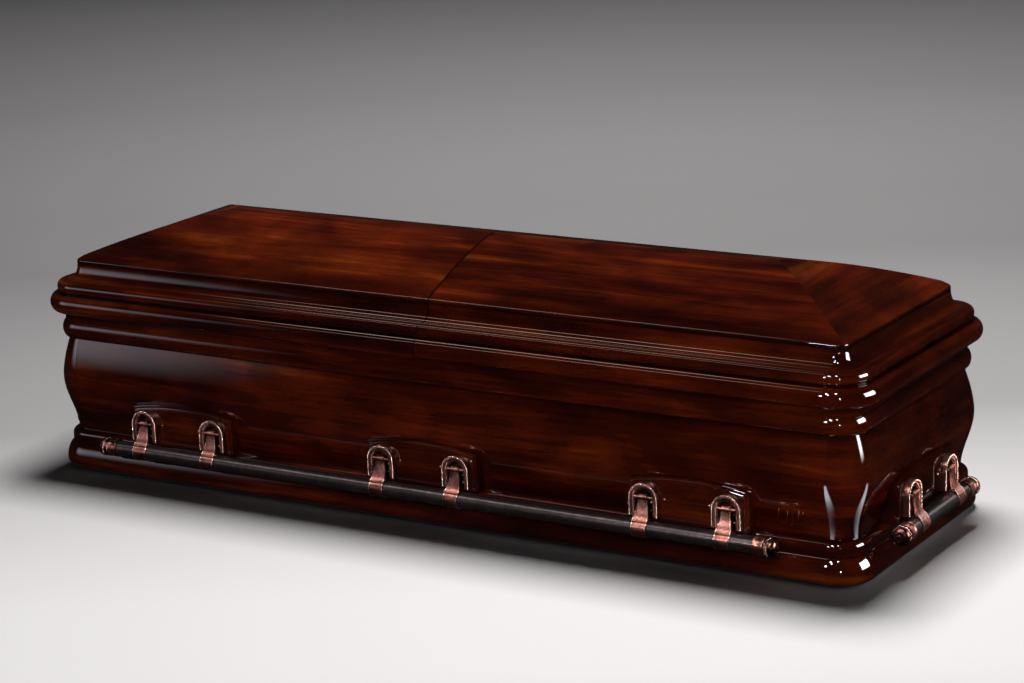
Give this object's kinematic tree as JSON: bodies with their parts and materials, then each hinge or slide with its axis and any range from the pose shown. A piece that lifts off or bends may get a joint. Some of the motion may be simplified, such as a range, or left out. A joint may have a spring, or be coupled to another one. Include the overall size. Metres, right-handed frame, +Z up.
{
  "type": "funeral casket",
  "caption": "Half-couch mahogany casket with a domed split lid, stacked mouldings, bowed sides, rounded corners and swing-bar handles; the lid panels and handles turn on hinges.",
  "frame": {"origin": "middle of the underside, on the floor", "axes": "+X towards the foot end along the casket's length, -Y towards the front (the side that opens), +Z up"},
  "size_m": [2.1978, 0.7746, 0.596],
  "materials": {
    "mahogany": "high-gloss clear lacquer over red-brown stained mahogany",
    "copper": "antique rose-copper plate, satin, dark in the recesses",
    "bar": "dark bronze lacquer, satin",
    "hinge_steel": "plain satin"
  },
  "bodies": {
    "casket": {"base_moulding": "mahogany", "bottom_board": "mahogany", "rim_moulding": "mahogany", "panel_front": "mahogany", "panel_back": "mahogany", "panel_head_end": "mahogany", "panel_foot_end": "mahogany", "corner_front_head": "mahogany", "corner_front_foot": "mahogany", "corner_back_head": "mahogany", "corner_back_foot": "mahogany", "hinge_head_box": "hinge_steel", "hinge_foot_box": "hinge_steel", "plate_front_head": "mahogany", "lugs_front_head": "copper", "plate_front_mid": "mahogany", "lugs_front_mid": "copper", "plate_front_foot": "mahogany", "lugs_front_foot": "copper", "plate_back_head": "mahogany", "lugs_back_head": "copper", "plate_back_mid": "mahogany", "lugs_back_mid": "copper", "plate_back_foot": "mahogany", "lugs_back_foot": "copper", "plate_head_end": "mahogany", "lugs_head_end": "copper", "plate_foot_end": "mahogany", "lugs_foot_end": "copper"},
    "lid_head": {"lid_head_moulding": "mahogany", "lid_head_cove": "mahogany", "lid_head_crown": "mahogany", "lid_head_rail": "mahogany", "hinge_head_lid": "hinge_steel"},
    "lid_foot": {"lid_foot_moulding": "mahogany", "lid_foot_cove": "mahogany", "lid_foot_crown": "mahogany", "lid_foot_rail": "mahogany", "hinge_foot_lid": "hinge_steel"},
    "swing_front": {"bar_front": "bar", "tips_front": "copper", "arms_front_head": "copper", "arms_front_mid": "copper", "arms_front_foot": "copper"},
    "swing_back": {"bar_back": "bar", "tips_back": "copper", "arms_back_head": "copper", "arms_back_mid": "copper", "arms_back_foot": "copper"},
    "swing_head_end": {"bar_head_end": "bar", "tips_head_end": "copper", "arms_head_end": "copper"},
    "swing_foot_end": {"bar_foot_end": "bar", "tips_foot_end": "copper", "arms_foot_end": "copper"}
  },
  "joints": [
    {"name": "lid_head_hinge", "type": "hinge", "parent": "casket", "child": "lid_head", "pos_m": [-0.5335, 0.3315, 0.375], "axis": [-1, 0, 0], "range_deg": [0, 80]},
    {"name": "lid_foot_hinge", "type": "hinge", "parent": "casket", "child": "lid_foot", "pos_m": [0.5335, 0.3315, 0.375], "axis": [-1, 0, 0], "range_deg": [0, 80]},
    {"name": "swing_front_pivot", "type": "hinge", "parent": "casket", "child": "swing_front", "pos_m": [0, -0.356, 0.147], "axis": [-1, 0, 0], "range_deg": [0, 85]},
    {"name": "swing_back_pivot", "type": "hinge", "parent": "casket", "child": "swing_back", "pos_m": [0, 0.356, 0.147], "axis": [1, 0, 0], "range_deg": [0, 85]},
    {"name": "swing_head_end_pivot", "type": "hinge", "parent": "casket", "child": "swing_head_end", "pos_m": [-1.0675, 0, 0.147], "axis": [0, 1, 0], "range_deg": [0, 85]},
    {"name": "swing_foot_end_pivot", "type": "hinge", "parent": "casket", "child": "swing_foot_end", "pos_m": [1.0675, 0, 0.147], "axis": [0, -1, 0], "range_deg": [0, 85]}
  ]
}
